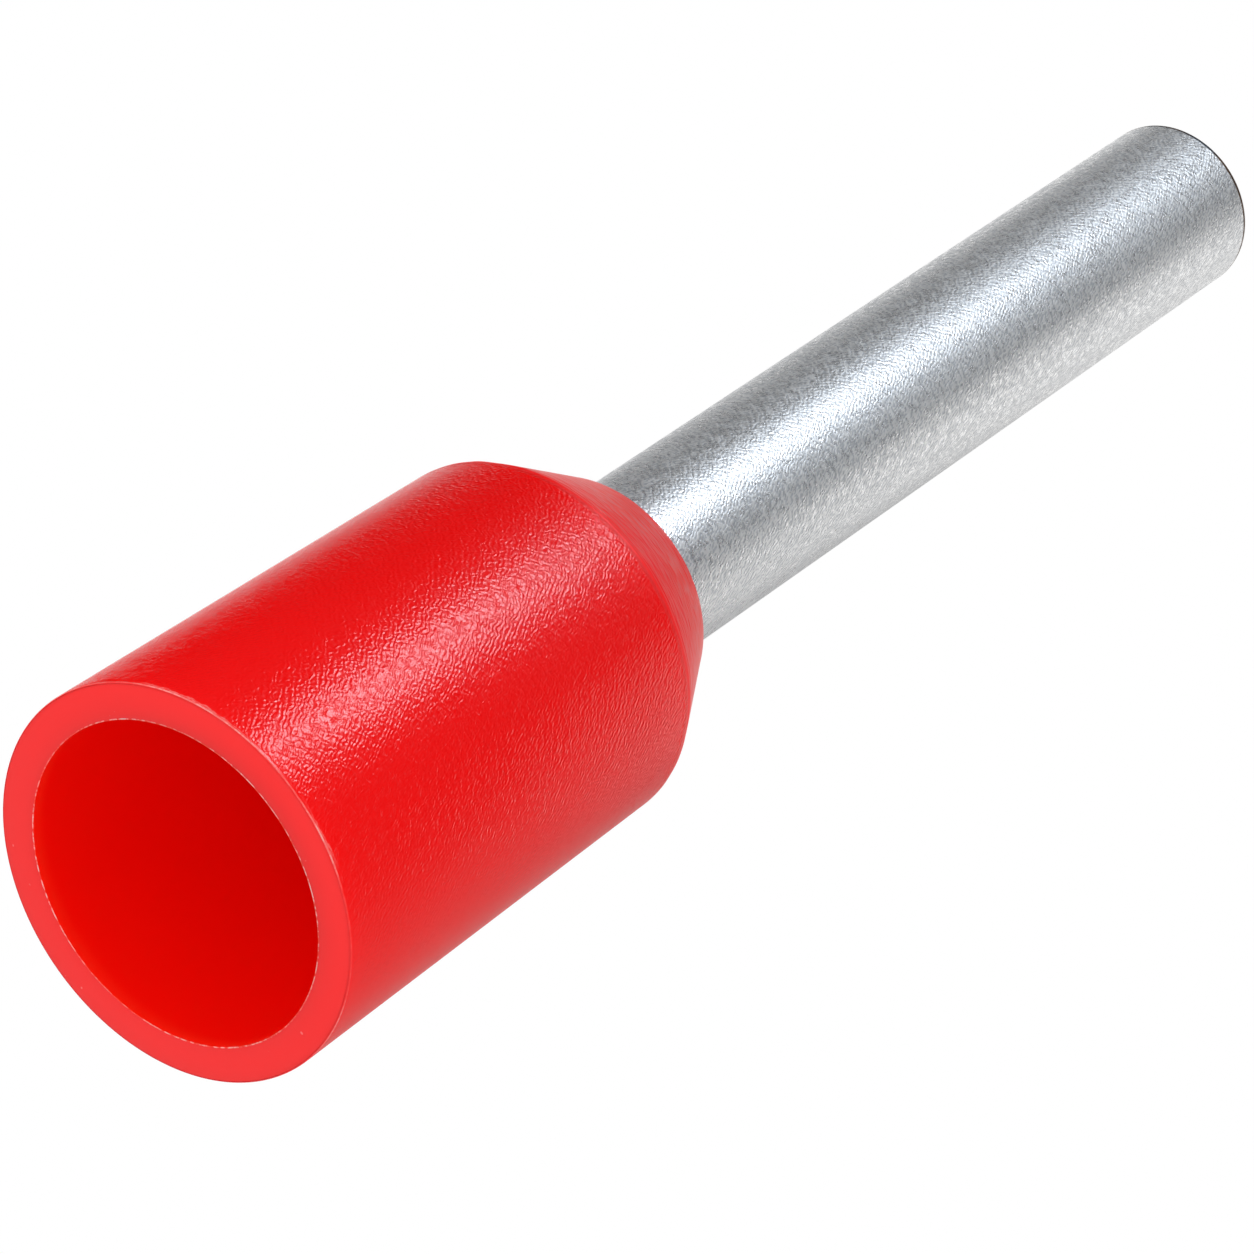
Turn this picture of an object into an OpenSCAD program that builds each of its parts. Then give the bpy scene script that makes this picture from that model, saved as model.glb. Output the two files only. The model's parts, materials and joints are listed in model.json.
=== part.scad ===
// Insulated wire ferrule for a stranded conductor of 1 square millimetre.
// A tinned copper tube, flared at one end, is wedged in the cone of a moulded collar.
// Z runs along the ferrule. The collar's mouth lies on Z = 0 and the tube's tip points up.

/* [Tube] */
// Length of tube that stands clear of the collar
tube_len = 10; // [6:0.5:18]
// Outside diameter of the tube
tube_d = 1.7; // [1.3:0.05:2.1]
// Thickness of the tube's wall
tube_wall = 0.15; // [0.1:0.01:0.25]
// Angle between the flare and the axis, in degrees
flare_angle = 29; // [20:1:40]
// How far the flare widens the tube, measured on its radius
flare_spread = 0.34; // [0.2:0.02:0.5]
// Radius on the edges of the tube's two cut ends
cut_round = 0.04; // [0.01:0.01:0.05]

/* [Collar] */
// Length from the mouth to the end face
collar_len = 6; // [5:0.25:12]
// Outside diameter at the mouth
collar_d = 3.6; // [3.3:0.05:4.6]
// Thickness of the wall at the mouth
mouth_wall = 0.33; // [0.22:0.01:0.45]
// Draft of the skirt's outside, which narrows towards the crease, in degrees
skirt_draft = 0.87; // [0:0.1:1.5]
// Length of the outer cone, from the crease to the end face
cone_len = 1.05; // [0.7:0.05:1.6]
// Thickness of plastic around the tube at the end face
neck_wall = 0.3; // [0.2:0.02:0.5]
// Radius on the outer edge of the mouth
mouth_round = 0.06; // [0.02:0.01:0.12]
// Radius of the crease between skirt and cone
crease_round = 0.1; // [0.05:0.05:0.4]
// Radius on the outer edge of the end face
neck_round = 0.04; // [0.02:0.01:0.08]

/* [Seat] */
// Straight length of tube that the collar grips
grip_len = 0.15; // [0.1:0.05:0.6]
// Radius of the edge that the flare bends round
bend_round = 0.15; // [0.05:0.05:0.4]
// Gap all round between the tube and its seat
seat_gap = 0.01; // [0.005:0.005:0.03]

/* [Hidden] */
$fn = 96;
// Straight steps in one rounded corner
arc_steps = 6;
collar_red = [0.87, 0.06, 0.08];
tin_grey = [0.78, 0.79, 0.80];

tube_r = tube_d / 2;
collar_r = collar_d / 2;
bore_r = collar_r - mouth_wall;
neck_r = tube_r + seat_gap + neck_wall;
tip_z = collar_len + tube_len;
crease_z = collar_len - cone_len;
crease_r = collar_r - crease_z * tan(skirt_draft);
bend_z = collar_len - grip_len;

// Direction along the flare, outwards and back to the mouth, and the normal of its outer face
flare_dir = [sin(flare_angle), -cos(flare_angle)];
flare_out = [cos(flare_angle), sin(flare_angle)];

// Where tube and flare meet, on the line that lies a distance outside the tube's outer face
function bend_corner(distance) =
    [tube_r + distance, bend_z + distance * tan(flare_angle / 2)];

// Points of an arc of the given radius, tangent to the lines a-b and b-c
function rounded(a, b, c, radius) =
    let (
        to_a = (a - b) / norm(a - b),
        to_c = (c - b) / norm(c - b),
        half = acos(to_a * to_c) / 2,
        centre = b + (to_a + to_c) / norm(to_a + to_c) * radius / sin(half),
        from = b + to_a * radius / tan(half) - centre,
        to = b + to_c * radius / tan(half) - centre,
        start = atan2(from.y, from.x),
        turn = atan2(from.x * to.y - from.y * to.x, from * to)
    )
    [for (i = [0:arc_steps])
        let (angle = start + turn * i / arc_steps)
        centre + radius * [cos(angle), sin(angle)]];

// Moulded in one piece: skirt, crease, short cone, and inside it the bore and the flare's seat
module insulating_collar() {
    mouth_in = [bore_r, 0];
    mouth_out = [collar_r, 0];
    crease = [crease_r, crease_z];
    neck_out = [neck_r, collar_len];
    neck_in = [tube_r + seat_gap, collar_len];
    seat_top = bend_corner(seat_gap);
    seat_foot = [bore_r, seat_top.y - (bore_r - seat_top.x) / tan(flare_angle)];

    color(collar_red)
    rotate_extrude()
    polygon(concat(
        [mouth_in],
        rounded(mouth_in, mouth_out, crease, mouth_round),
        rounded(mouth_out, crease, neck_out, crease_round),
        rounded(crease, neck_out, neck_in, neck_round),
        [neck_in],
        rounded(neck_in, seat_top, seat_foot, bend_round),
        [seat_foot]
    ));
}

// Drawn from tube of one wall thickness: the flare, the bend and the straight barrel
module crimp_sleeve() {
    tip_out = [tube_r, tip_z];
    tip_in = [tube_r - tube_wall, tip_z];
    bend_in = bend_corner(-tube_wall);
    bend_out = bend_corner(0);
    lip_out = bend_out + flare_dir * flare_spread / sin(flare_angle);
    lip_in = lip_out - flare_out * tube_wall;

    color(tin_grey)
    rotate_extrude()
    polygon(concat(
        rounded(bend_in, tip_in, tip_out, cut_round),
        rounded(tip_in, tip_out, bend_out, cut_round),
        rounded(tip_out, bend_out, lip_out, bend_round + seat_gap),
        rounded(bend_out, lip_out, lip_in, cut_round),
        rounded(lip_out, lip_in, bend_in, cut_round),
        rounded(lip_in, bend_in, tip_in, bend_round + seat_gap + tube_wall)
    ));
}

insulating_collar();
crimp_sleeve();
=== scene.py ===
# %% [markdown]
# A wire ferrule in Blender
#
# A wire ferrule is two pieces: a moulded plastic collar that takes the end of the wire's
# insulation, and a thin tinned copper tube that is crimped onto the bare strands. Both are
# bodies of revolution, so the lesson is about three things: turning one primitive into a true
# moulding, giving plastic and tin their own fine grain, and lighting a shiny tube so that it
# shows bands of light and dark.
#
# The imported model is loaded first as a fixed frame. The part stands on the collar's mouth, with
# its axis on Z, and everything below is placed from that frame, in metres.

# %% Load the frame
import json
import math

import bmesh
import bpy
from mathutils import Matrix, Vector, noise


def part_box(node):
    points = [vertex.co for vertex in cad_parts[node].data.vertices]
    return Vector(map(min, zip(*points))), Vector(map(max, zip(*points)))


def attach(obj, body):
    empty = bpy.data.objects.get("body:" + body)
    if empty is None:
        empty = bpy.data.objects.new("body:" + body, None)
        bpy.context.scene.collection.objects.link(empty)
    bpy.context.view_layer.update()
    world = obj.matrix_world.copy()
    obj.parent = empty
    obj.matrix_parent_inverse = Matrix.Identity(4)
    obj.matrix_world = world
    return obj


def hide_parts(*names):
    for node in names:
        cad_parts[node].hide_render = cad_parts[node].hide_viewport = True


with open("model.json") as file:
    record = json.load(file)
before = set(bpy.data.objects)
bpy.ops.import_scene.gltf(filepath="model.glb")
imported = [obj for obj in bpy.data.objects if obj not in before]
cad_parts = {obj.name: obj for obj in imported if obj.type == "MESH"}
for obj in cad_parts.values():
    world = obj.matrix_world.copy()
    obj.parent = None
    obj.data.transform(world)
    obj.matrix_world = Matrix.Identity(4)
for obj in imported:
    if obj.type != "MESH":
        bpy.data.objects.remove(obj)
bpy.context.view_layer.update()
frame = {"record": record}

MM = 0.001

# %% [markdown]
# **Sizes.** The sizes could be typed in again, but two lists of the same sizes soon disagree.
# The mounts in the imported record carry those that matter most: the bore for the insulation, the
# bore for the strands and the outside of the tube. Reading them, and the box of each node, keeps
# these shapes true to the construction.

# %% Sizes from the frame
mounts = {mount["name"]: mount for mount in frame["record"]["mounts"]}
collar_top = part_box("insulating_collar")[1]
sleeve_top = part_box("crimp_sleeve")[1]

tube_r = mounts["crimp_barrel"]["dims"]["r_mm"] * MM
strand_r = mounts["conductor_bore"]["dims"]["r_mm"] * MM
bore_r = mounts["insulation_bore"]["dims"]["r_mm"] * MM
bore_depth = mounts["insulation_bore"]["dims"]["length_mm"] * MM
collar_len = collar_top.z
tip_z = sleeve_top.z
flare_r = sleeve_top.x
print("tube radius, mm:", round(tube_r / MM, 3), " flare radius, mm:", round(flare_r / MM, 3))

# %% [markdown]
# What no mount states is a named value here: the walls and the cone of the collar, the slight
# draft that lets the skirt leave its mould, and the seat, where the tube's flare lies in the
# collar with a thin gap all round.

# %% Walls, cone and seat
mouth_wall = 0.33 * MM
collar_r = bore_r + mouth_wall
cone_len = 1.05 * MM
crease_z = collar_len - cone_len
skirt_draft = math.radians(0.87)
crease_r = collar_r - crease_z * math.tan(skirt_draft)
neck_wall = 0.30 * MM
seat_gap = 0.01 * MM
seat_r = tube_r + seat_gap
neck_r = seat_r + neck_wall
flare_angle = math.radians(29)
bend_z = collar_len - 0.15 * MM
print("collar radius, mm:", round(collar_r / MM, 3), " at the crease:", round(crease_r / MM, 3))

# %% [markdown]
# **Camera.** The view looks up into the mouth, from below the plane that the ferrule stands on,
# with a long lens so that the sides stay nearly parallel. The camera is also rolled, so that the
# axis climbs across the view. It could be placed by hand, but it is easier to correct when it is
# built from quantities with a meaning: the angle between the line of sight and the ferrule's
# axis, the slope of that axis, the distance, and how far the mouth lies off the line of sight.

# %% Camera
VIEW_AZIMUTH = math.radians(30)
ANGLE_TO_AXIS = math.radians(43.65)
VIEW_ELEVATION = ANGLE_TO_AXIS - math.radians(90)
AXIS_SLOPE = math.radians(34.62)
MOUTH_DISTANCE = 53.79 * MM
MOUTH_LEFT = 3.693 * MM
MOUTH_BELOW = 2.100 * MM
LENS = 189.50
CLIP_NEAR = 1 * MM
CLIP_FAR = 10.0


def compass(azimuth, elevation=0.0):
    """Direction out from the ferrule, with azimuth 0 towards -Y and 90 degrees towards +X."""
    return Vector((
        math.sin(azimuth) * math.cos(elevation),
        -math.cos(azimuth) * math.cos(elevation),
        math.sin(elevation),
    ))


def add_camera():
    to_camera = compass(VIEW_AZIMUTH, VIEW_ELEVATION)
    upright = to_camera.to_track_quat("Z", "Y").to_matrix()
    turned = upright @ Matrix.Rotation(math.radians(90) - AXIS_SLOPE, 3, "Z")
    right, up, back = turned.col
    camera = bpy.data.objects.new("camera", bpy.data.cameras.new("camera"))
    camera.matrix_world = Matrix.LocRotScale(
        right * MOUTH_LEFT + up * MOUTH_BELOW + back * MOUTH_DISTANCE, turned, None)
    camera.data.lens = LENS
    camera.data.clip_start = CLIP_NEAR
    camera.data.clip_end = CLIP_FAR
    bpy.context.scene.collection.objects.link(camera)
    bpy.context.scene.camera = camera
    return camera


bpy.context.scene.view_settings.view_transform = "Standard"
camera = add_camera()
print("camera at, mm:", [round(value / MM, 2) for value in camera.location])

# %% [markdown]
# **Node helpers.** Every paint and finish below is a small tree of nodes. Written out in full,
# each node takes several lines, and the pattern is lost among them. These helpers add a node
# and link it in one call.

# %% Add nodes and materials
def add_node(tree, kind, inputs=None, **settings):
    """Add a node, set its properties, and fill or link its inputs by name or number."""
    node = tree.nodes.new(kind)
    for name, value in settings.items():
        setattr(node, name, value)
    for name, value in (inputs or {}).items():
        if isinstance(value, bpy.types.NodeSocket):
            tree.links.new(value, node.inputs[name])
        else:
            node.inputs[name].default_value = value
    return node


def new_material(name):
    """A material with an empty tree. Returns the material, its tree and its output node."""
    material = bpy.data.materials.new(name)
    material.use_nodes = True
    tree = material.node_tree
    tree.nodes.clear()
    return material, tree, add_node(tree, "ShaderNodeOutputMaterial")


def object_place(tree):
    return add_node(tree, "ShaderNodeTexCoord").outputs["Object"]


print("helpers for nodes:", add_node.__name__, new_material.__name__, object_place.__name__)

# %% [markdown]
# Five more helpers work with values and colours. A soft step is the most useful of them: it
# rises smoothly from one value to another, or falls if the second limit is the lower one, so
# two of them multiplied make a soft band.

# %% Values and colours in a node tree
def math_node(tree, operation, *values):
    return add_node(tree, "ShaderNodeMath", dict(enumerate(values)), operation=operation).outputs[0]


def both(tree, first, second):
    return math_node(tree, "MULTIPLY", first, second)


def soft_step(tree, value, low, high, from_value=0.0, to_value=1.0):
    return add_node(tree, "ShaderNodeMapRange", {
        "Value": value, "From Min": low, "From Max": high, "To Min": from_value,
        "To Max": to_value}, interpolation_type="SMOOTHSTEP").outputs["Result"]


def add_ramp(tree, factor, stops):
    """A colour ramp from a list of (position, (red, green, blue)) stops."""
    node = add_node(tree, "ShaderNodeValToRGB", {"Fac": factor})
    elements = node.color_ramp.elements
    while len(elements) < len(stops):
        elements.new(0.5)
    for element, (position, colour) in zip(elements, stops):
        element.position = position
        element.color = (*colour, 1.0)
    return node.outputs["Color"]


def blend_colours(tree, factor, first, second):
    """Go from the first colour to the second as the factor goes from 0 to 1."""
    return add_node(tree, "ShaderNodeMix", {0: factor, 6: first, 7: second},
                    data_type="RGBA").outputs[2]


print("helpers for values and colours:", math_node.__name__, both.__name__, soft_step.__name__,
      add_ramp.__name__, blend_colours.__name__)

# %% [markdown]
# **World.** The background is white for the camera and for clear reflections. As a lamp the same
# world is weaker, and softer from the sides than from above and below, as in a room with large
# diffusers over and under the table. One even white would light both pieces too flatly. The
# level is such that a colour renders about as written.

# %% World
WHITE = (1, 1, 1, 1)
WORLD_SIDE = 0.66
WORLD_POLE = 1.00


def set_world():
    world = bpy.data.worlds.new("white_room")
    bpy.context.scene.world = world
    world.use_nodes = True
    tree = world.node_tree
    tree.nodes.clear()
    rays = add_node(tree, "ShaderNodeLightPath").outputs
    seen = math_node(tree, "MAXIMUM", rays["Is Camera Ray"], rays["Is Glossy Ray"])
    seen = math_node(tree, "MAXIMUM", seen, rays["Is Transmission Ray"])
    direction = add_node(tree, "ShaderNodeTexCoord").outputs["Generated"]
    height = add_node(tree, "ShaderNodeSeparateXYZ", {"Vector": direction}).outputs["Z"]
    level = add_node(tree, "ShaderNodeMapRange", {
        "Value": math_node(tree, "ABSOLUTE", height), "To Min": WORLD_SIDE, "To Max": WORLD_POLE})
    strength = add_node(tree, "ShaderNodeMapRange", {
        "Value": seen, "To Min": level.outputs["Result"], "To Max": 1.0})
    light = add_node(tree, "ShaderNodeBackground", {
        "Color": WHITE, "Strength": strength.outputs["Result"]})
    add_node(tree, "ShaderNodeOutputWorld", {"Surface": light.outputs[0]})
    return world


world = set_world()
print("world:", world.name, " light from the side and the poles:", WORLD_SIDE, WORLD_POLE)

# %% [markdown]
# **Floor.** The ferrule stands on a pale floor, but the camera is below it. So the floor is seen
# from above only: its underside is clear. Near the ferrule it is paper that takes light, and
# farther out it fades to the white of the background. It also stays out of the reflections and
# casts no shade of its own, because otherwise it would close the mouth like a lid.

# %% Floor
FLOOR_DROP = 0.01 * MM
FLOOR_SIZE = 4.0
FLOOR_FADE = (30 * MM, 300 * MM)
PAPER_WHITE = (0.88, 0.88, 0.88, 1)


def floor_paper():
    material, tree, output = new_material("floor_paper")
    away = add_node(tree, "ShaderNodeVectorMath", {0: object_place(tree)}, operation="LENGTH")
    far = add_node(tree, "ShaderNodeMapRange", {
        "Value": away.outputs["Value"], "From Min": FLOOR_FADE[0], "From Max": FLOOR_FADE[1]})
    paper = add_node(tree, "ShaderNodeBsdfDiffuse", {"Color": PAPER_WHITE})
    white = add_node(tree, "ShaderNodeEmission", {"Color": WHITE, "Strength": 1.0})
    top = add_node(tree, "ShaderNodeMixShader", {
        0: far.outputs["Result"], 1: paper.outputs[0], 2: white.outputs[0]})
    clear = add_node(tree, "ShaderNodeBsdfTransparent")
    sheet = add_node(tree, "ShaderNodeMixShader", {
        0: add_node(tree, "ShaderNodeNewGeometry").outputs["Backfacing"],
        1: top.outputs[0], 2: clear.outputs[0]})
    tree.links.new(sheet.outputs[0], output.inputs["Surface"])
    return material


def add_floor():
    bpy.ops.mesh.primitive_plane_add(size=FLOOR_SIZE, location=(0, 0, -FLOOR_DROP))
    floor = bpy.context.object
    floor.name = "floor"
    floor.data.materials.append(floor_paper())
    floor.visible_diffuse = floor.visible_glossy = False
    floor.visible_transmission = floor.visible_shadow = False
    return floor


bpy.ops.object.select_all(action="DESELECT")
floor = add_floor()
print("floor at, mm:", round(floor.location.z / MM, 3))

# %% [markdown]
# **Cards.** Bare metal has no colour of its own, only what it mirrors. In a studio, cards stand
# round it: black ones draw the dark bands along a tube, pale ones the grey bands. Many small
# cards would do, but each would leave an edge. Here the cards are one tall ring round the
# ferrule and a lid over it, painted with soft edges.
#
# The tube stands higher than the skirt, so what it mirrors to the camera lies higher up on the
# ring. The ring therefore has a lower tier for the skirt and an upper tier for the tube, above
# a pale table. Angles count to the left, from the camera's side.

# %% Paint for the two tiers
CARD_RADIUS = 400 * MM
CARD_LOW = -550 * MM
CARD_HIGH = 750 * MM
TABLE_LINE = (70 * MM, 170 * MM)
TABLE_GREY = (0.69, 0.69, 0.69, 1)
TIER_LINE = (465 * MM, 515 * MM)
LOWER_TIER = [
    (-180, (0.62, 0.61, 0.60)),
    (-165, (0.45, 0.44, 0.43)),
    (-150, (0.36, 0.35, 0.34)),
    (-110, (0.30, 0.29, 0.28)),
    (-80, (0.24, 0.23, 0.22)),
    (-60, (0.03, 0.03, 0.03)),
    (-40, (0.00, 0.00, 0.00)),
    (132, (0.00, 0.00, 0.00)),
    (143, (0.38, 0.37, 0.36)),
    (154, (0.92, 0.91, 0.90)),
    (180, (1.00, 0.99, 0.98)),
]
UPPER_TIER = [
    (-180, (1.20, 1.19, 1.17)),
    (-165, (1.10, 1.08, 1.06)),
    (-150, (1.15, 1.13, 1.10)),
    (-62, (1.20, 1.17, 1.13)),
    (-44, (0.05, 0.06, 0.07)),
    (-20, (0.03, 0.035, 0.04)),
    (114, (0.00, 0.00, 0.00)),
    (132, (0.42, 0.41, 0.40)),
    (148, (1.20, 1.19, 1.17)),
    (180, (1.20, 1.19, 1.17)),
]
print("stops of the lower and the upper tier:", len(LOWER_TIER), len(UPPER_TIER))

# %% [markdown]
# Two things lie over the tiers. One is a bright, slightly blue card, high up and a little to
# the left of the camera's side. It widens the tube's own highlight without lighting the skirt.
# The other is a shade on the far side, which darkens upwards. The lid is black over the camera,
# grey beyond the ferrule, and has a dark stripe along its middle.

# %% Paint for the bright card, the shade and the lid
CARD_LINE = (525 * MM, 585 * MM)
CARD_TOP = (650 * MM, 630 * MM)
# degrees to the left where each side of the bright card begins and is full
CARD_SIDES = ((-34, -4), (86, 48))
CARD_LIGHT = (2.26, 2.39, 2.55, 1)
SHADE_DEPTH = (0.4 * CARD_RADIUS, 0.9 * CARD_RADIUS)
SHADE_HEIGHT = (475 * MM, 750 * MM)
SHADE_STRENGTH = 0.6
# distance beyond the ferrule, in ring radii, and the grey of the lid there
LID_STOPS = [(-1.0, 0.03), (-0.1, 0.04), (0.15, 0.14), (0.4, 0.36), (0.7, 0.56), (1.0, 0.70)]
STRIPE_SIDES = (0.30, 0.05)
STRIPE_STRENGTH = 0.65
BLACK = (0, 0, 0, 1)
print("bright card from, mm:", round(CARD_LINE[0] / MM), " to, mm:", round(CARD_TOP[0] / MM))

# %% [markdown]
# The paint is worked out from the place on the card. A radial gradient gives the compass angle
# round the ring, and a ramp turns it into paint. Both cards are turned with the camera, so a
# camera at another azimuth still sees the same bands.

# %% Paint the ring
def share_of_turn(degrees):
    """Where an angle from -180 to 180 degrees lies on a ramp from 0 to 1."""
    return (degrees + 180) / 360


def from_camera_side(tree):
    """Place on a card, with -Y towards the camera's side."""
    return add_node(tree, "ShaderNodeMapping", {
        "Vector": object_place(tree), "Rotation": (0, 0, -VIEW_AZIMUTH)}).outputs[0]


def bright_card(tree, height, turn):
    """How much of the bright card is there, from 0 to 1."""
    card = both(tree, soft_step(tree, height, *CARD_LINE), soft_step(tree, height, *CARD_TOP))
    for outer, inner in CARD_SIDES:
        card = both(tree, card, soft_step(tree, turn, share_of_turn(outer), share_of_turn(inner)))
    return card


def ring_colour(tree):
    place = from_camera_side(tree)
    parts = add_node(tree, "ShaderNodeSeparateXYZ", {"Vector": place}).outputs
    # the radial gradient counts turns from -X, so a quarter turn puts zero on the far side
    turned = add_node(tree, "ShaderNodeMapping", {
        "Vector": place, "Rotation": (0, 0, math.radians(-90)), "Scale": (1, -1, 1)})
    turn = add_node(tree, "ShaderNodeTexGradient", {"Vector": turned.outputs[0]},
                    gradient_type="RADIAL").outputs["Fac"]
    tiers = [add_ramp(tree, turn, [(share_of_turn(degrees), paint) for degrees, paint in stops])
             for stops in (LOWER_TIER, UPPER_TIER)]
    colour = blend_colours(tree, soft_step(tree, parts["Z"], *TIER_LINE), *tiers)
    colour = blend_colours(tree, bright_card(tree, parts["Z"], turn), colour, CARD_LIGHT)
    colour = blend_colours(tree, soft_step(tree, parts["Z"], *TABLE_LINE), TABLE_GREY, colour)
    shade = both(tree, soft_step(tree, parts["Y"], *SHADE_DEPTH),
                 soft_step(tree, parts["Z"], *SHADE_HEIGHT))
    return blend_colours(tree, both(tree, shade, SHADE_STRENGTH), colour, BLACK)


print("camera's side of the ring, degrees:", round(math.degrees(VIEW_AZIMUTH)))

# %% [markdown]
# The lid is painted by the distance beyond the ferrule and the distance to the left or right.

# %% Paint the lid
def lid_colour(tree):
    parts = add_node(tree, "ShaderNodeSeparateXYZ", {"Vector": from_camera_side(tree)}).outputs
    beyond = math_node(tree, "DIVIDE", parts["Y"], CARD_RADIUS)
    colour = add_ramp(tree, math_node(tree, "MULTIPLY_ADD", beyond, 0.5, 0.5),
                      [((at + 1) / 2, (value, value, value)) for at, value in LID_STOPS])
    across = math_node(tree, "ABSOLUTE", math_node(tree, "DIVIDE", parts["X"], CARD_RADIUS))
    stripe = both(tree, soft_step(tree, across, *STRIPE_SIDES), STRIPE_STRENGTH)
    return blend_colours(tree, stripe, colour, BLACK)


print("stops of the lid:", len(LID_STOPS))

# %% [markdown]
# The cards glow by themselves, so no lamp has to light them. They are shown to reflections
# only: the camera looks through them, and they neither light nor shade the plastic.

# %% Set up the cards
RING_SIDES = 128


def show_to_reflections_only(card, colour_maker):
    """Give a card glowing paper, and hide it from everything except mirrors."""
    material, tree, output = new_material(card.name + "_paper")
    glow = add_node(tree, "ShaderNodeEmission", {"Color": colour_maker(tree), "Strength": 1.0})
    tree.links.new(glow.outputs[0], output.inputs["Surface"])
    card.data.materials.append(material)
    card.visible_camera = card.visible_diffuse = card.visible_shadow = False
    card.visible_transmission = False


def add_cards():
    bpy.ops.mesh.primitive_cylinder_add(
        vertices=RING_SIDES, radius=CARD_RADIUS, depth=CARD_HIGH - CARD_LOW,
        end_fill_type="NOTHING", location=(0, 0, (CARD_HIGH + CARD_LOW) / 2))
    wall = bpy.context.object
    wall.name = "ring_card"
    bpy.ops.mesh.primitive_circle_add(
        vertices=RING_SIDES, radius=CARD_RADIUS, fill_type="NGON", location=(0, 0, CARD_HIGH))
    lid = bpy.context.object
    lid.name = "lid_card"
    for card in (wall, lid):
        bpy.ops.object.select_all(action="DESELECT")
        card.select_set(True)
        bpy.ops.object.transform_apply(location=True, rotation=True, scale=True)
    show_to_reflections_only(wall, ring_colour)
    show_to_reflections_only(lid, lid_colour)
    return wall, lid


for card in add_cards():
    print(card.name, "nodes of paint:", len(card.data.materials[0].node_tree.nodes))

# %% [markdown]
# **Lamps.** A softbox stands to the left of the camera. A smooth upright wall would mirror the
# camera's line at 46 degrees above the floor, and the middle of the lamp is at 38, so it is the
# small slopes of the grain that catch it: the skirt shows a band of fine sparks. It is there for
# gloss only. A large soft lamp lights the colour, the mouth and the bore, and is kept out of the
# gloss.
#
# One lamp could do both jobs, but then its strength would tie the sparks to the colour.

# %% Lamps
KEY_LEFT = math.radians(26)
KEY_RISE = math.radians(38)
KEY_DISTANCE = 300 * MM
KEY_WIDTH = 72 * MM
KEY_HEIGHT = 100 * MM
KEY_RADIANCE = 10.5
KEY_COLOUR = (0.83, 0.91, 1.0)
FILL_LEFT = math.radians(24)
FILL_DISTANCE = 100 * MM
FILL_SIZE = 200 * MM
FILL_LIGHT = 0.51
FILL_COLOUR = (1, 1, 1)
# a smaller or farther lamp has to glow more to give the same light
FILL_RADIANCE = FILL_LIGHT * math.pi * (FILL_DISTANCE / FILL_SIZE) ** 2


def add_lamp(name, direction, distance, width, height, radiance, colour):
    """A flat lamp that faces the middle of the ferrule and glows evenly."""
    lamp = bpy.data.lights.new(name, "AREA")
    lamp.shape = "RECTANGLE"
    lamp.size = width
    lamp.size_y = height
    lamp.energy = radiance * math.pi * width * height
    lamp.color = colour
    holder = bpy.data.objects.new(name, lamp)
    middle = Vector((0, 0, tip_z / 2))
    holder.matrix_world = Matrix.LocRotScale(
        middle + direction * distance, direction.to_track_quat("Z", "Y"), None)
    holder.visible_camera = False
    bpy.context.scene.collection.objects.link(holder)
    return holder


key = add_lamp("key", compass(VIEW_AZIMUTH - KEY_LEFT, KEY_RISE),
               KEY_DISTANCE, KEY_WIDTH, KEY_HEIGHT, KEY_RADIANCE, KEY_COLOUR)
key.visible_diffuse = False
fill = add_lamp("fill", compass(VIEW_AZIMUTH - FILL_LEFT, VIEW_ELEVATION),
                FILL_DISTANCE, FILL_SIZE, FILL_SIZE, FILL_RADIANCE, FILL_COLOUR)
fill.visible_glossy = False
for lamp in (key, fill):
    print(lamp.name, "at, mm:", [round(value / MM, 1) for value in lamp.location])

# %% [markdown]
# **Helpers for modelling.** Both pieces are modelled as by hand, with edit mode operators. What
# a hand would click is picked here by place: a ring is known by its radius and its height.

# %% Pick faces and edges
SLACK = 0.003 * MM


def start_edit(piece):
    bpy.context.view_layer.objects.active = piece
    bpy.ops.object.mode_set(mode="EDIT")


def end_edit():
    bpy.ops.object.mode_set(mode="OBJECT")


def out_from_axis(place):
    return math.hypot(place.x, place.y)


def ring(radius, height):
    """A test for the corners of one ring round the axis."""
    return lambda place: (abs(out_from_axis(place) - radius) < SLACK
                          and abs(place.z - height) < SLACK)


def pick(piece, element, wanted):
    """Select each face or edge whose every corner is wanted."""
    bpy.ops.mesh.select_mode(type=element)
    bpy.ops.mesh.select_all(action="DESELECT")
    mesh = bmesh.from_edit_mesh(piece.data)
    for part in mesh.faces if element == "FACE" else mesh.edges:
        part.select_set(all(wanted(corner.co) for corner in part.verts))
    mesh.select_flush_mode()
    bmesh.update_edit_mesh(piece.data)


print("rings are picked to within, mm:", SLACK / MM)

# %% [markdown]
# A body of revolution grows ring by ring. Each step extrudes the last ring along the axis and
# scales it to its new radius, which makes a cylinder or a cone. An edge is rounded by a bevel.
# A bevel is set by how far it reaches along the walls, so the reach is worked out from the
# radius of the arc and from the angle through which the wall turns.

# %% Raise rings and round edges
def scale_ring(radius_before, radius_after):
    factor = radius_after / radius_before
    bpy.ops.transform.resize(value=(factor, factor, 1), center_override=(0, 0, 0))


def raise_ring(rise, radius_before, radius_after):
    """Extrude what is selected along the axis, and bring the new ring to its radius."""
    bpy.ops.mesh.extrude_region_move(TRANSFORM_OT_translate={"value": (0, 0, rise)})
    scale_ring(radius_before, radius_after)


def round_edge(piece, radius, height, round_radius, turn, segments):
    """Bevel the ring at that place to an arc of the given radius, where the wall turns by turn."""
    pick(piece, "EDGE", ring(radius, height))
    bpy.ops.mesh.bevel(offset=round_radius * math.tan(turn / 2), offset_type="OFFSET",
                       segments=segments, affect="EDGES")


print("helpers for rings:", scale_ring.__name__, raise_ring.__name__, round_edge.__name__)

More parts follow.
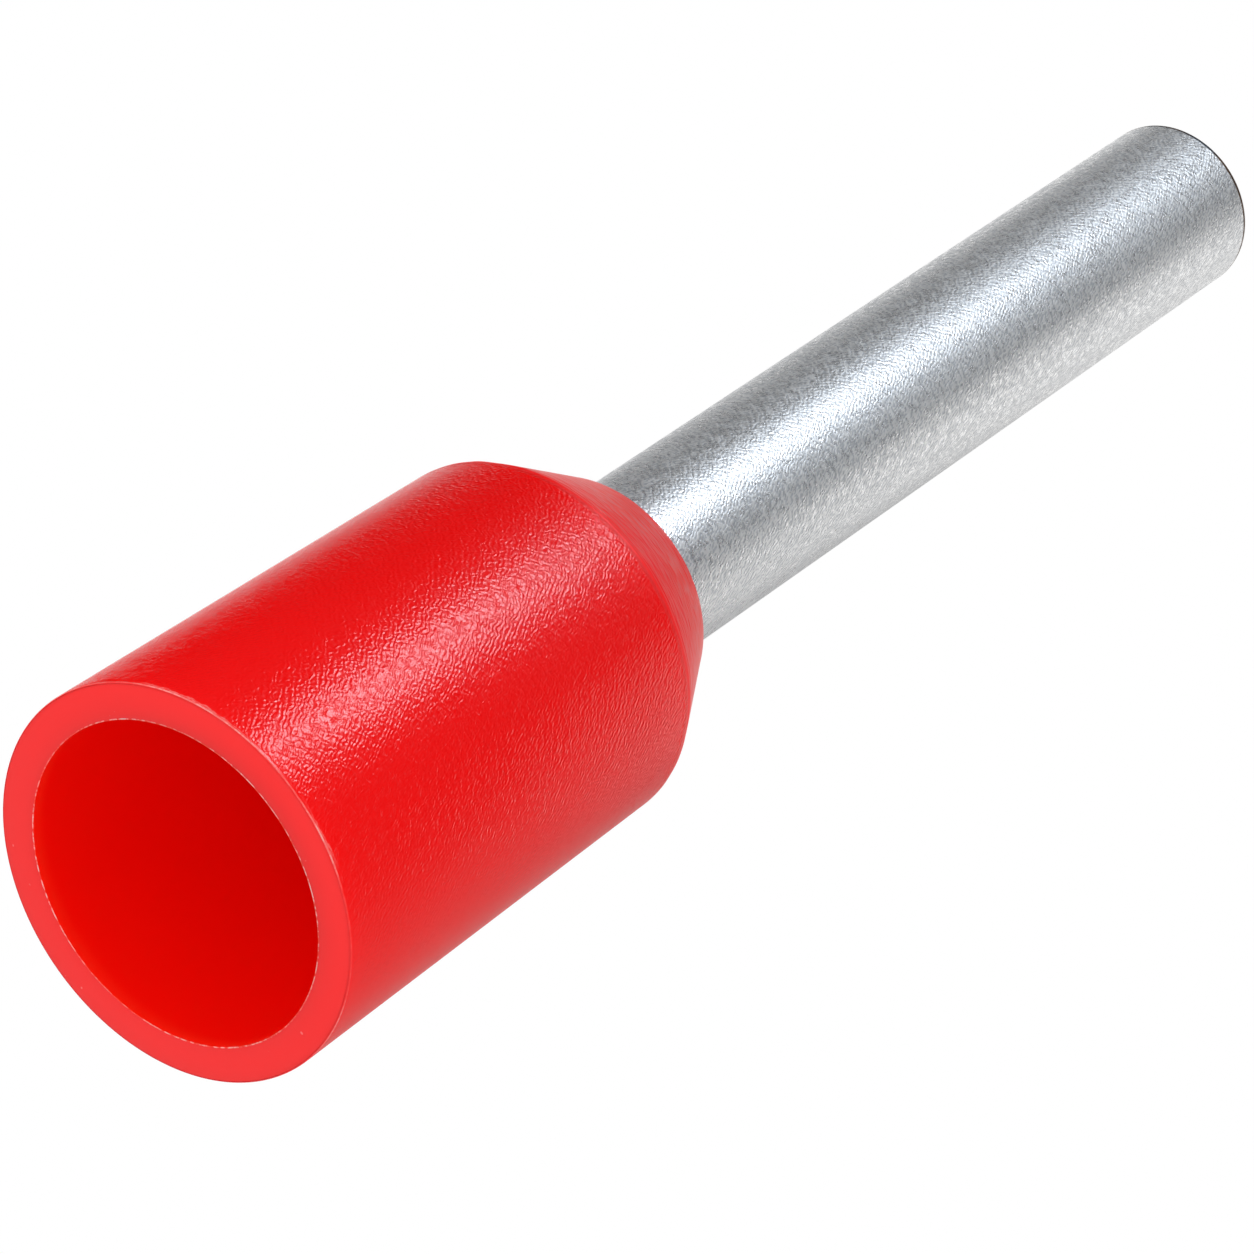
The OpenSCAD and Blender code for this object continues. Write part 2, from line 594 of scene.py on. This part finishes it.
# %% [markdown]
# **Collar, outside.** The collar is one injection moulding. It could be spun from a profile, but
# a cylinder is already round, so it becomes the skirt: its top is made smaller by the draft,
# drawn up and in to make the cone, and inset to leave the flat end round the neck. The last
# face is deleted, which opens the neck.

# %% Model the skirt and the cone
SIDES = 384


def model_collar_outside():
    bpy.ops.mesh.primitive_cylinder_add(
        vertices=SIDES, radius=collar_r, depth=crease_z, location=(0, 0, crease_z / 2))
    collar = bpy.context.object
    collar.name = "collar_moulding"
    bpy.ops.object.transform_apply(location=True, rotation=True, scale=True)
    start_edit(collar)
    pick(collar, "FACE", lambda place: place.z > crease_z - SLACK)
    scale_ring(collar_r, crease_r)
    raise_ring(cone_len, crease_r, neck_r)
    bpy.ops.mesh.inset(thickness=neck_wall)
    bpy.ops.mesh.delete(type="FACE")
    end_edit()
    return collar


bpy.ops.object.select_all(action="DESELECT")
collar = model_collar_outside()
print("collar length, mm:", round(collar.dimensions.z / MM, 3))

# %% [markdown]
# **Collar, inside.** A core pin leaves the inside: a wide bore for the insulation, a cone where
# the tube's flare is seated, and a short grip on the tube. The mouth is inset by the wall and
# pushed up ring by ring. Its last ring ends on the opened neck, so the two are merged, and the
# moulding is one closed wall.

# %% Push up the bore
def model_collar_inside():
    start_edit(collar)
    pick(collar, "FACE", lambda place: place.z < SLACK)
    bpy.ops.mesh.inset(thickness=mouth_wall)
    raise_ring(bore_depth, bore_r, bore_r)
    raise_ring(bend_z - bore_depth, bore_r, seat_r)
    raise_ring(collar_len - bend_z, seat_r, seat_r)
    bpy.ops.mesh.delete(type="FACE")
    bpy.ops.mesh.select_all(action="SELECT")
    bpy.ops.mesh.remove_doubles(threshold=0.5 * SLACK)
    end_edit()


model_collar_inside()
print("collar faces:", len(collar.data.polygons))

# %% [markdown]
# **Collar, edges.** No moulded edge is quite sharp. The rim of the mouth has a very small
# radius, and the crease and the edge of the neck have larger ones. The bevels come last, when
# the rings they need are all there.

# %% Round the edges
mouth_round = 0.014 * MM
crease_round = 0.05 * MM
neck_round = 0.04 * MM
cone_slope = math.atan((crease_r - neck_r) / cone_len)

start_edit(collar)
round_edge(collar, collar_r, 0, mouth_round, math.radians(90), 4)
round_edge(collar, crease_r, crease_z, crease_round, cone_slope - skirt_draft, 5)
round_edge(collar, neck_r, collar_len, neck_round, math.radians(90) - cone_slope, 4)
end_edit()
print("cone slope, degrees:", round(math.degrees(cone_slope), 2),
      " collar faces:", len(collar.data.polygons))

# %% [markdown]
# ** Flash.** Moulds leave a thin fin of plastic, called flash, where two of their parts meet:
# here round the outside of the mouth, and on its inner edge, where the core pin stood. The inner
# fin is modelled, because a bump would vanish at the edge: a ring is cut into the mouth face and
# drawn down by about two microns. The outer fin is not modelled: further down, a pale line and a
# band beside it are painted along the outer rim instead, as the rim's highlight and sheen. Flash
# is never even, so noise sets how far each corner of the ring is drawn.

# %% Noise for the flash
flash_width = 0.004 * MM
LEAST_FLASH = 0.1
RAGGED_WAVES = 2.5 / MM
RAGGED_FIBRES = 12.0 / MM


def ragged(place):
    """The height of the fin at a place, as a share of its full height."""
    waves = noise.noise(Vector((place.x, place.y, 0)) * RAGGED_WAVES)
    fibres = noise.noise(Vector((place.x, place.y, 1)) * RAGGED_FIBRES)
    return min(1.0, max(LEAST_FLASH, 0.5 + 0.9 * waves + 0.6 * fibres))


print("flash on the X side, share of its height:",
      round(ragged(Vector((bore_r + flash_width, 0, 0))), 2))

# %% [markdown]
# Narrow insets cut rings into the mouth face beside the bore. They give the fin a foot on each
# side, and then its own ring is drawn down.

# %% Draw out the flash
CLOSE = 0.2 * flash_width
FLASH_HEIGHT = 0.6 * flash_width
FLASH_INSETS = 3


def draw_flash():
    start_edit(collar)
    pick(collar, "FACE", lambda place: abs(place.z) < SLACK)
    for _ in range(FLASH_INSETS):
        bpy.ops.mesh.inset(thickness=flash_width)
    end_edit()
    for corner in collar.data.vertices:
        place = corner.co
        from_fin = abs(out_from_axis(place) - bore_r - flash_width)
        if abs(place.z) < SLACK and from_fin < CLOSE:
            place.z -= ragged(place) * FLASH_HEIGHT


draw_flash()
print("lowest flash, mm:", round(min(corner.co.z for corner in collar.data.vertices) / MM, 4))

# %% [markdown]
# **Crease.** The crease between skirt and cone isn't a perfect circle, as moulds are finished by
# hand. Moving the whole ring would only shift it. Here each corner near the crease moves along
# the axis by a little noise, which fades out on both sides.

# %% Let the crease waver
crease_reach = 0.08 * MM
crease_waver = 0.022 * MM
SLOW_WAVER = 1.6 / MM
QUICK_WAVER = 5.0 / MM


def waver_crease():
    moved = 0
    for corner in collar.data.vertices:
        place = corner.co
        near = 1 - abs(place.z - crease_z) / crease_reach
        if near > 0 and out_from_axis(place) > 0.5 * (bore_r + crease_r):
            slow = noise.noise(Vector((place.x, place.y, 0)) * SLOW_WAVER)
            quick = noise.noise(Vector((place.x, place.y, 2)) * QUICK_WAVER)
            place.z += near * (slow + 0.5 * quick) * crease_waver
            moved += 1
    return moved


print("corners moved at the crease:", waver_crease())

# %% [markdown]
# **Sleeve.** The sleeve is drawn from copper tube of one wall thickness. Two nested cylinders
# would need their flares matched by hand, so it is modelled as a skin and thickened. An open
# cylinder is the barrel, its lower edge is drawn out to make the flare that leads the strands
# in, and the bend between them is rounded.

# %% Model the skin of the sleeve
bend_round = 0.16 * MM
flare_spread = flare_r - tube_r
flare_drop = flare_spread / math.tan(flare_angle)


def model_sleeve_skin():
    barrel_len = tip_z - bend_z
    bpy.ops.mesh.primitive_cylinder_add(
        vertices=SIDES, radius=tube_r, depth=barrel_len, end_fill_type="NOTHING",
        location=(0, 0, bend_z + barrel_len / 2))
    sleeve = bpy.context.object
    sleeve.name = "tinned_sleeve"
    bpy.ops.object.transform_apply(location=True, rotation=True, scale=True)
    start_edit(sleeve)
    pick(sleeve, "EDGE", ring(tube_r, bend_z))
    raise_ring(-flare_drop, tube_r, flare_r)
    round_edge(sleeve, tube_r, bend_z, bend_round, flare_angle, 5)
    bpy.ops.mesh.select_all(action="SELECT")
    bpy.ops.mesh.normals_make_consistent(inside=False)
    end_edit()
    return sleeve


bpy.ops.object.select_all(action="DESELECT")
sleeve = model_sleeve_skin()
print("flare length, mm:", round(flare_drop / MM, 3), " skin faces:", len(sleeve.data.polygons))

# %% [markdown]
# **Wall of the sleeve.** Solidify gives the skin its wall, inwards, and keeps it even round the
# bend. It has to be applied before the cut end can be worked on. Both edges of the cut end are
# then broken with small bevels, as tumbling leaves them.

# %% Thicken the sleeve and break its edges
tube_wall = tube_r - strand_r
cut_round = 0.04 * MM
INWARDS = -1

thicken = sleeve.modifiers.new("wall", "SOLIDIFY")
thicken.thickness = tube_wall
thicken.offset = INWARDS
thicken.use_even_offset = True
bpy.ops.object.modifier_apply(modifier=thicken.name)
start_edit(sleeve)
for radius in (tube_r, strand_r):
    round_edge(sleeve, radius, tip_z, cut_round, math.radians(90), 4)
end_edit()
print("sleeve wall, mm:", round(tube_wall / MM, 3), " faces:", len(sleeve.data.polygons))

# %% [markdown]
# **Patterns in millimetres.** Object coordinates are in metres, in which a pattern this fine
# would need scales in the tens of thousands. They are turned into millimetres first, so a scale
# of 20 means about 20 blobs to the millimetre.

# %% Helpers for patterns
MM_PER_METRE = 1000


def place_in_mm(tree, scale=(1, 1, 1)):
    return add_node(tree, "ShaderNodeMapping", {
        "Vector": object_place(tree),
        "Scale": tuple(MM_PER_METRE * value for value in scale)}).outputs[0]


def radius_and_height(tree):
    """The distance from the axis and the height above the mouth, in millimetres."""
    parts = add_node(tree, "ShaderNodeSeparateXYZ", {"Vector": place_in_mm(tree)}).outputs
    flat = add_node(tree, "ShaderNodeCombineXYZ", {"X": parts["X"], "Y": parts["Y"]}).outputs[0]
    radius = add_node(tree, "ShaderNodeVectorMath", {0: flat}, operation="LENGTH")
    return radius.outputs["Value"], parts["Z"]


def noise_at(tree, vector, scale, detail=2.0, roughness=0.5):
    return add_node(tree, "ShaderNodeTexNoise", {
        "Vector": vector, "Scale": scale, "Detail": detail, "Roughness": roughness}).outputs["Fac"]


def between(tree, value, rise, fall):
    """1 between two limits and 0 outside them, where each limit is a soft (start, end) pair."""
    return both(tree, soft_step(tree, value, *rise), soft_step(tree, value, *fall))


print("helpers for patterns:", place_in_mm.__name__, radius_and_height.__name__,
      noise_at.__name__, between.__name__)

# %% [markdown]
# **Wrinkles.** Both finishes of the ferrule are wrinkled rather than bumpy: the collar's mould
# is spark-eroded, which leaves a fine leathery grain, and tin plating grows with a crinkled
# skin. Plain noise gives round blobs of every size. Waves give ridges of one width, so four sets
# of them are added, in four directions that slope across the walls. Each set is distorted until
# its crests wander, split and meet.

# %% Wrinkles
WAVE_TURNS = [(0, -35, 45), (0, 35, -45), (0, 35, 135), (0, -35, -135)]
# the wave texture has 10 / pi waves to the unit at a scale of 1
SCALE_PER_WAVE = math.pi / 10
WANDER = 5.5
WANDER_FINENESS = 1.6


def wrinkles(tree, vector, ridges_per_mm):
    """Waves in four directions, whose crests wander: together they look like fine leather."""
    total = 0.0
    for turn in WAVE_TURNS:
        turned = add_node(tree, "ShaderNodeMapping", {
            "Vector": vector, "Rotation": [math.radians(angle) for angle in turn]}).outputs[0]
        waves = add_node(tree, "ShaderNodeTexWave", {
            "Vector": turned, "Scale": SCALE_PER_WAVE * ridges_per_mm, "Distortion": WANDER,
            "Detail": 0.0, "Detail Scale": WANDER_FINENESS}).outputs["Fac"]
        total = math_node(tree, "ADD", total, waves)
    return math_node(tree, "DIVIDE", total, len(WAVE_TURNS))


print("sets of waves in the grain:", len(WAVE_TURNS))

# %% [markdown]
# **Zones of the collar.** One moulding has several finishes: the skirt is grained, while the
# cone, the mouth and the bore are smooth. It could be cut into faces with a material each, but
# a finish fades over a few hundredths of a millimetre and doesn't stop at an edge. So the zones
# are soft masks, worked out from the distance to the axis and the height. All limits are in
# millimetres, and those at the crease are counted from it.

# %% Limits of the zones
axis_to_bore = bore_r / MM
axis_to_rim = collar_r / MM - 0.007
mouth_to_crease = crease_z / MM

OUTER_WALL = (axis_to_bore + 0.08, axis_to_bore + 0.15)
BORE_WALL = (axis_to_bore + 0.01, axis_to_bore + 0.002)
BORE_EDGE = (axis_to_bore + 0.012, axis_to_bore + 0.008)
# two bands along the outer rim, where the rim's highlight and sheen are painted
RIM_HIGHLIGHT_RADII = (axis_to_rim, axis_to_rim + 0.006)
RIM_SHEEN_RADII = (axis_to_rim, axis_to_rim + 0.003)

MOUTH_FACE = (0.004, 0.0)
LIP_ENDS = (0.18, 0.0)
# how high the painted rim highlight and the painted sheen band beside it reach, and how uneven the
# band's edge is
RIM_HIGHLIGHT_ENDS = (0.020, 0.013)
RIM_SHEEN_ENDS = (0.088, 0.076)
RIM_SHEEN_WANDER = 0.08
RIM_SHEEN_PER_MM = 9.0
GRAIN_STARTS = (0.03, 0.05)
GRAIN_ENDS = (mouth_to_crease - 0.02, mouth_to_crease - 0.05)
CREASE_STARTS = (mouth_to_crease - 0.085, mouth_to_crease - 0.055)
CREASE_ENDS = (mouth_to_crease - 0.015, mouth_to_crease - 0.045)
CONE_FINISH = (mouth_to_crease - 0.05, mouth_to_crease - 0.01)
CONE_STREAKS = (mouth_to_crease + 0.03, mouth_to_crease + 0.07)
print("crease at, mm:", round(mouth_to_crease, 3), " rim at, mm:", round(axis_to_rim, 3))

# %% [markdown]
# With the limits named, each zone is one or two lines. The band of painted sheen beside the rim
# has an uneven edge, so some noise is added to the height before it is compared.

# %% Masks for the zones
def plastic_zones(tree):
    """Masks, from 0 to 1, for parts of the collar that differ in finish or in painted light and
    shade.
    """
    radius, height = radius_and_height(tree)
    bore = soft_step(tree, radius, *BORE_WALL)
    face = soft_step(tree, height, *MOUTH_FACE)
    rim_sheen_edge = noise_at(tree, place_in_mm(tree), RIM_SHEEN_PER_MM)
    uneven_height = math_node(tree, "MULTIPLY_ADD", rim_sheen_edge, RIM_SHEEN_WANDER, height)
    return {
        "skirt": both(tree, soft_step(tree, radius, *OUTER_WALL),
                      between(tree, height, GRAIN_STARTS, GRAIN_ENDS)),
        # the crease line, where shade is painted and the plastic is rougher
        "crease_shade_line": between(tree, height, CREASE_STARTS, CREASE_ENDS),
        "cone_finish": soft_step(tree, height, *CONE_FINISH),
        "cone": soft_step(tree, height, *CONE_STREAKS),
        "bore": bore,
        # the bore near the mouth, where a lighter red is painted as light falling in
        "painted_light_lip": both(tree, bore, soft_step(tree, height, *LIP_ENDS)),
        "face": face,
        "inner_flash": both(tree, soft_step(tree, radius, *BORE_EDGE), face),
        # the two bands at the outer rim where a highlight and a sheen are painted
        "rim_highlight": both(tree, soft_step(tree, radius, *RIM_HIGHLIGHT_RADII),
                            soft_step(tree, height, *RIM_HIGHLIGHT_ENDS)),
        "rim_sheen_band": both(tree, soft_step(tree, radius, *RIM_SHEEN_RADII),
                            soft_step(tree, uneven_height, *RIM_SHEEN_ENDS)),
    }


print("grain from, mm:", GRAIN_STARTS[0], " to, mm:", round(GRAIN_ENDS[0], 3))

# %% [markdown]
# ** Torn edges and a painted rim highlight.** Where flash breaks off, the plastic is stretched
# and turns pale. That happens in long stretches, and within them in dashes. So a slow noise says
# where the edge is torn, and a quick one breaks it up. A few pale flecks lie on the mouth face as
# well. Along the outer rim the same pale red is painted in dashes, and beside it in a band broken
# into streaks: this is painted highlight and sheen, where the rounded rim would catch the light.

# %% Torn flash and painted rim highlight
STRETCHES_PER_MM = 0.7
DASHES_PER_MM = 16.0
DASH_LIMITS = (0.42, 0.62)
SHEEN_STREAKS_PER_MM = 22.0
SHEEN_STREAK_SQUASH = (1.0, 1.0, 3.0)
FLECKS_PER_MM = 11.0
FLECK_LIMITS = (0.76, 0.82)


def torn_flash_and_rim_highlight(tree, zones):
    """How pale the plastic is: torn dashes on the inner flash, painted highlight and sheen at the
    outer rim, and a few flecks.
    """
    place = place_in_mm(tree)
    stretches = noise_at(tree, place, STRETCHES_PER_MM, 1.0)
    dashes = soft_step(tree, noise_at(tree, place, DASHES_PER_MM, 2.0, 0.6), *DASH_LIMITS)
    # streaks that break up the painted sheen beside the rim
    fibres = noise_at(tree, place_in_mm(tree, SHEEN_STREAK_SQUASH), SHEEN_STREAKS_PER_MM, 1.0)
    flecks = noise_at(tree, place, FLECKS_PER_MM, 1.0)
    # each amount of paleness, from tearing and painted highlight alike, lies between the last two
    # numbers of its soft step
    amounts = {
        "inner_flash": both(tree, dashes, soft_step(tree, stretches, 0.40, 0.60, 0.25, 1.0)),
        # a highlight painted along the outer rim
        "rim_highlight": both(tree, soft_step(tree, stretches, 0.60, 0.42, 0.10, 0.85),
                            soft_step(tree, dashes, 0.0, 1.0, 0.55, 1.0)),
        # a sheen painted in a band beside the rim
        "rim_sheen_band": both(tree, soft_step(tree, stretches, 0.52, 0.40),
                            soft_step(tree, fibres, 0.35, 0.60, 0.12, 0.40)),
        "face": soft_step(tree, flecks, *FLECK_LIMITS, 0.0, 0.35),
    }
    paleness = 0.0
    for zone, amount in amounts.items():
        paleness = math_node(tree, "MAXIMUM", paleness, both(tree, zones[zone], amount))
    return paleness


print("dashes of torn flash to the millimetre:", DASHES_PER_MM)

# %% [markdown]
# ** Red plastic.** The collar is soft polyamide. Its grain is far finer than any mesh should be,
# so it is bump. The cone is smooth, but rubbed in streaks round the axis, and in patches these
# streaks are painted paler, as a painted sheen. Along the crease a deeper red is painted as
# shade. A plain diffuse red would look like paint: here light also soaks through the thin wall,
# far for red and hardly at all for green and blue, and that makes the bore glow. The bore is
# also painted a more orange red for that glow, and a lighter red near the mouth as painted light.

# %% Colours and finish of the plastic
GRAIN_PER_MM = 29.0
GRAIN_DEPTH = 0.0042 * MM
SKIRT_ROUGH = 0.23
CONE_ROUGH = 0.36
CREASE_ROUGHER = 0.12
STREAKS_PER_MM = 17.0
STREAK_STRETCH = (0.35, 0.35, 1.0)
STREAK_RELIEF = 4.6
# patches in which the cone's streaks are painted paler, as a painted sheen
SHEEN_PATCHES_PER_MM = 1.4
SHEEN_PATCH_LIMITS = (0.42, 0.56)
STREAK_SHEEN_LIMITS = (0.44, 0.66)
STREAK_SHEEN_STRENGTH = 0.7
RED = (0.93, 0.0014, 0.0016, 1)
# painted light: a more orange red in the bore for its glow, and a lighter red near the mouth
BORE_GLOW_RED = (0.93, 0.0045, 0.0006, 1)
PAINTED_LIGHT_RED = (1.0, 0.018, 0.006, 1)
# painted shade: a darker red along the crease
CREASE_SHADE_RED = (0.74, 0.0011, 0.0012, 1)
PALE_TORN_AND_HIGHLIGHT_RED = (0.98, 0.42, 0.40, 1)
STREAK_SHEEN_RED = (0.88, 0.12, 0.11, 1)
SOAK_COLOURS = (1.0, 0.06, 0.05)
SOAK_DEPTH = 0.8 * MM
PLASTIC_IOR = 1.5
print("one ridge of grain, mm:", round(1 / GRAIN_PER_MM, 4))

# %% [markdown]
# The material is put together from the masks: first the relief and the painted sheen of the cone's
# streaks, then the colour, zone by zone, with its painted light and shade, then how rough the
# surface is.

# %% Red plastic
def plastic_relief(tree, zones, streaks):
    grain = both(tree, wrinkles(tree, place_in_mm(tree), GRAIN_PER_MM), zones["skirt"])
    relief = math_node(tree, "MULTIPLY_ADD", both(tree, streaks, zones["cone"]),
                       STREAK_RELIEF, grain)
    return add_node(tree, "ShaderNodeBump", {
        "Height": relief, "Strength": 1.0, "Distance": GRAIN_DEPTH}).outputs[0]


# painted sheen: the cone's streaks made paler in patches
def streak_sheen(tree, zones, streaks):
    sheen_patches = soft_step(tree, noise_at(tree, place_in_mm(tree), SHEEN_PATCHES_PER_MM, 1.0),
                        *SHEEN_PATCH_LIMITS)
    paler_streaks = soft_step(tree, streaks, *STREAK_SHEEN_LIMITS, 0.0, STREAK_SHEEN_STRENGTH)
    return both(tree, zones["cone"], both(tree, sheen_patches, paler_streaks))


def red_plastic():
    material, tree, output = new_material("red_polyamide")
    zones = plastic_zones(tree)
    streaks = noise_at(tree, place_in_mm(tree, STREAK_STRETCH), STREAKS_PER_MM, 1.0, 0.6)
    colour = RED
    # painted light and shade: the crease shade, the bore's orange glow, the lit lip of the bore,
    # the sheen of the cone's streaks and the rim highlight; the torn flash and flecks are pale
    # plastic
    for mask, paint in ((zones["crease_shade_line"], CREASE_SHADE_RED), (zones["bore"], BORE_GLOW_RED),
                        (zones["painted_light_lip"], PAINTED_LIGHT_RED), (streak_sheen(tree, zones, streaks), STREAK_SHEEN_RED),
                        (torn_flash_and_rim_highlight(tree, zones), PALE_TORN_AND_HIGHLIGHT_RED)):
        colour = blend_colours(tree, mask, colour, paint)
    rough = soft_step(tree, zones["cone_finish"], 0.0, 1.0, SKIRT_ROUGH, CONE_ROUGH)
    rough = math_node(tree, "MULTIPLY_ADD", zones["crease_shade_line"], CREASE_ROUGHER, rough)
    skin = add_node(tree, "ShaderNodeBsdfPrincipled", {
        "Base Color": colour, "IOR": PLASTIC_IOR, "Roughness": rough,
        "Subsurface Weight": 1.0, "Subsurface Radius": SOAK_COLOURS,
        "Subsurface Scale": SOAK_DEPTH, "Normal": plastic_relief(tree, zones, streaks)})
    tree.links.new(skin.outputs[0], output.inputs["Surface"])
    return material


collar.data.materials.append(red_plastic())
print("nodes of the plastic:", len(collar.data.materials[0].node_tree.nodes))

# %% [markdown]
# ** Tin plating.** Electroplated tin is a pale satin metal with a fine crinkled skin, so it
# blurs what it mirrors and sparkles at the edge of each highlight. A smooth chrome would be
# easier, but it shows the cards as hard stripes. The wrinkles are made like those of the collar,
# only finer and shallower, and the valleys between them are painted a little darker, as shade.
# Here and there is a small pit, which looks like a warm dark speck.

# %% Colours and finish of the tin
CRINKLES_PER_MM = 32.0
CRINKLE_DEPTH = 0.0028 * MM
CREST_LIMITS = (0.32, 0.58)
# painted shade: the valleys between the crinkles are darker
TIN_VALLEY_SHADE = (0.65, 0.68, 0.72, 1)
TIN_CREST = (0.96, 0.975, 0.99, 1)
PITS_PER_MM = 24.0
PIT_LIMITS = (0.77, 0.84)
PIT_BROWN = (0.34, 0.30, 0.26, 1)
SATIN_PER_MM = 14.0
SATIN_LIMITS = (0.35, 0.65)
SATIN_ROUGHNESS = (0.26, 0.44)
TIN_METALLIC = 0.74
print("one crinkle of tin, mm:", round(1 / CRINKLES_PER_MM, 4))

# %% [markdown]
# The rounded outer edge of the cut end is painted as a thin dark line: slate in some places,
# which stands in for the dark reflection of that edge, and brown in others, as where the plating
# is thin and the copper under it has tarnished.

# %% The cut edge
tip = tip_z / MM
axis_to_wall = tube_r / MM
CUT_HEIGHT = (tip - 0.064, tip - 0.054)
CUT_RADIUS = (axis_to_wall - 0.030, axis_to_wall - 0.020)
TINTS_PER_MM = 1.1
TINT_LIMITS = (0.45, 0.55)
# painted reflection: the slate of the dark line on the cut edge
SLATE_REFLECTION = (0.03, 0.04, 0.055, 1)
CUT_BROWN = (0.14, 0.08, 0.05, 1)


def cut_edge(tree):
    """A mask for the rounded outer edge of the cut end."""
    radius, height = radius_and_height(tree)
    return both(tree, soft_step(tree, height, *CUT_HEIGHT), soft_step(tree, radius, *CUT_RADIUS))


def cut_colour(tree, place):
    tint = soft_step(tree, noise_at(tree, place, TINTS_PER_MM, 1.0), *TINT_LIMITS)
    return blend_colours(tree, tint, SLATE_REFLECTION, CUT_BROWN)


print("dark line from, mm:", round(CUT_HEIGHT[0], 3), " to the tip at, mm:", round(tip, 3))

# %% [markdown]
# The shader is not fully metallic. A quarter of it stays a pale diffuse surface, because the
# finest crinkles of real tin scatter light rather than mirror it.

# %% Tin plating
def tin_plating():
    material, tree, output = new_material("tin_plating")
    place = place_in_mm(tree)
    crinkles = wrinkles(tree, place, CRINKLES_PER_MM)
    bump = add_node(tree, "ShaderNodeBump", {
        "Height": crinkles, "Strength": 1.0, "Distance": CRINKLE_DEPTH})
    pits = soft_step(tree, noise_at(tree, place, PITS_PER_MM, 1.0), *PIT_LIMITS)
    satin = soft_step(tree, noise_at(tree, place, SATIN_PER_MM, 2.0, 0.6),
                      *SATIN_LIMITS, *SATIN_ROUGHNESS)
    # painted shade: darker in the valleys between the crinkles
    colour = blend_colours(tree, soft_step(tree, crinkles, *CREST_LIMITS), TIN_VALLEY_SHADE, TIN_CREST)
    colour = blend_colours(tree, pits, colour, PIT_BROWN)
    # the dark line on the rounded cut edge: slate as a painted reflection, brown as the copper
    colour = blend_colours(tree, cut_edge(tree), colour, cut_colour(tree, place))
    skin = add_node(tree, "ShaderNodeBsdfPrincipled", {
        "Base Color": colour, "Metallic": TIN_METALLIC, "Roughness": satin,
        "Normal": bump.outputs[0]})
    tree.links.new(skin.outputs[0], output.inputs["Surface"])
    return material


sleeve.data.materials.append(tin_plating())
print("nodes of the tin:", len(sleeve.data.materials[0].node_tree.nodes))

# %% [markdown]
# **Shading.** A ring of flat faces should look round, but the edge of the mouth should stay
# crisp. Smoothing everything would smear light over that edge, so only neighbours that turn by
# less than a set angle are smoothed together.

# %% Smooth the walls
CRISP_ANGLE = math.radians(40)

for piece in (collar, sleeve):
    bpy.ops.object.select_all(action="DESELECT")
    piece.select_set(True)
    bpy.context.view_layer.objects.active = piece
    bpy.ops.object.shade_smooth_by_angle(angle=CRISP_ANGLE)
    print(piece.name, "smooth faces:", sum(face.use_smooth for face in piece.data.polygons))

# %% [markdown]
# ** Join the frame.** Each finished piece takes the place of one imported solid: it rides on the
# same body and replaces that node's plain mesh.

# %% Join the frame
for piece, node, slot in ((collar, "insulating_collar", "collar_plastic"),
                          (sleeve, "crimp_sleeve", "tinned_copper")):
    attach(piece, "root")
    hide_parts(node)
